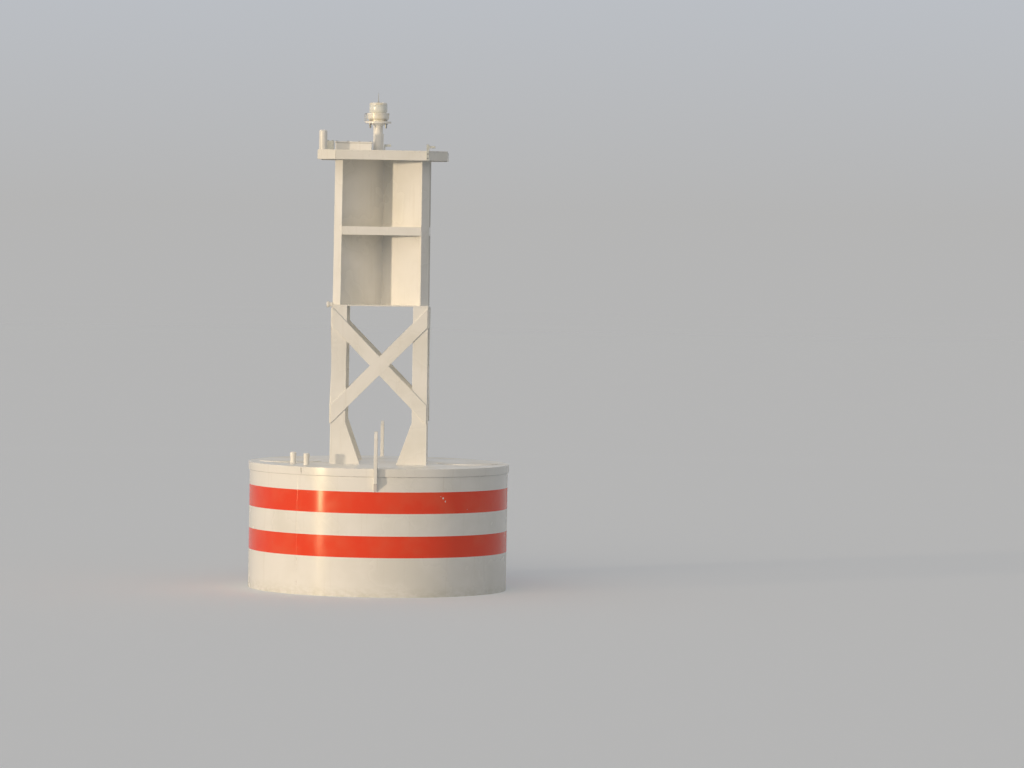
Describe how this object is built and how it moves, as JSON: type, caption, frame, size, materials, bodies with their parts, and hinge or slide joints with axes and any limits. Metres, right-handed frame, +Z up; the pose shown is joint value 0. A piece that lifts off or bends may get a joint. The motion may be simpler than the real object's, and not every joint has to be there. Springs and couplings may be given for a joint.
{
  "type": "navigation buoy",
  "caption": "Lighted steel navigation buoy: drum float, counterweight tail and a braced square tower with radar reflector, platform and lantern.",
  "frame": {"origin": "the buoy's axis at its waterline", "axes": "+Z up along the axis, -Y the front, which the picture looks at, +X to the right seen from the front"},
  "size_m": [2.458, 2.778, 8.015],
  "materials": {
    "white_enamel": "semi-gloss marine enamel",
    "orange_red_enamel": "semi-gloss marine enamel",
    "bottom_paint": "matt antifouling paint",
    "cast_ballast": "cast, antifouling paint",
    "galvanised_steel": "dull hot-dip galvanised",
    "stainless_steel": "brushed stainless",
    "lantern_polycarbonate": "moulded, gloss",
    "lens_polycarbonate": "frosted by salt, gloss"
  },
  "bodies": {
    "root": {"hull_upper": "white_enamel", "hull_lower": "bottom_paint", "hull_bottom": "bottom_paint", "deck_plate": "white_enamel", "fender_ring": "white_enamel", "band_upper": "orange_red_enamel", "band_lower": "orange_red_enamel", "counterweight_tube": "bottom_paint", "tube_brackets": "bottom_paint", "counterweight": "cast_ballast", "mooring_eye_front": "bottom_paint", "mooring_eye_back": "bottom_paint", "lifting_lug_front": "white_enamel", "lifting_lug_back": "white_enamel", "pocket_cover_left": "white_enamel", "pocket_cover_right": "white_enamel", "deck_vents": "white_enamel", "leg_front_left": "white_enamel", "leg_front_right": "white_enamel", "leg_back_right": "white_enamel", "leg_back_left": "white_enamel", "brace_front": "white_enamel", "brace_right": "white_enamel", "brace_back": "white_enamel", "brace_left": "white_enamel", "brace_cross_front": "white_enamel", "brace_cross_right": "white_enamel", "brace_cross_back": "white_enamel", "brace_cross_left": "white_enamel", "reflector_base": "white_enamel", "reflector_middle": "white_enamel", "reflector_rails": "white_enamel", "corner_bar_front_left": "white_enamel", "corner_bar_front_right": "white_enamel", "corner_bar_back_right": "white_enamel", "corner_bar_back_left": "white_enamel", "fin_lower": "white_enamel", "fin_lower_cross": "white_enamel", "fin_upper": "white_enamel", "fin_upper_cross": "white_enamel", "platform_plate": "white_enamel", "skirt_front": "white_enamel", "skirt_right": "white_enamel", "skirt_back": "white_enamel", "skirt_left": "white_enamel", "skirt_corners": "white_enamel", "tie_knob": "white_enamel", "antenna_socket": "white_enamel", "equipment_box": "white_enamel", "equipment_lid": "white_enamel", "junction_box": "galvanised_steel", "hook_clips": "galvanised_steel", "lantern_post": "white_enamel", "lantern_base": "lantern_polycarbonate", "lantern_bolts": "stainless_steel", "lantern_body": "lantern_polycarbonate", "lantern_lens": "lens_polycarbonate", "lantern_cap": "lantern_polycarbonate", "bird_spike": "stainless_steel"}
  },
  "joints": []
}
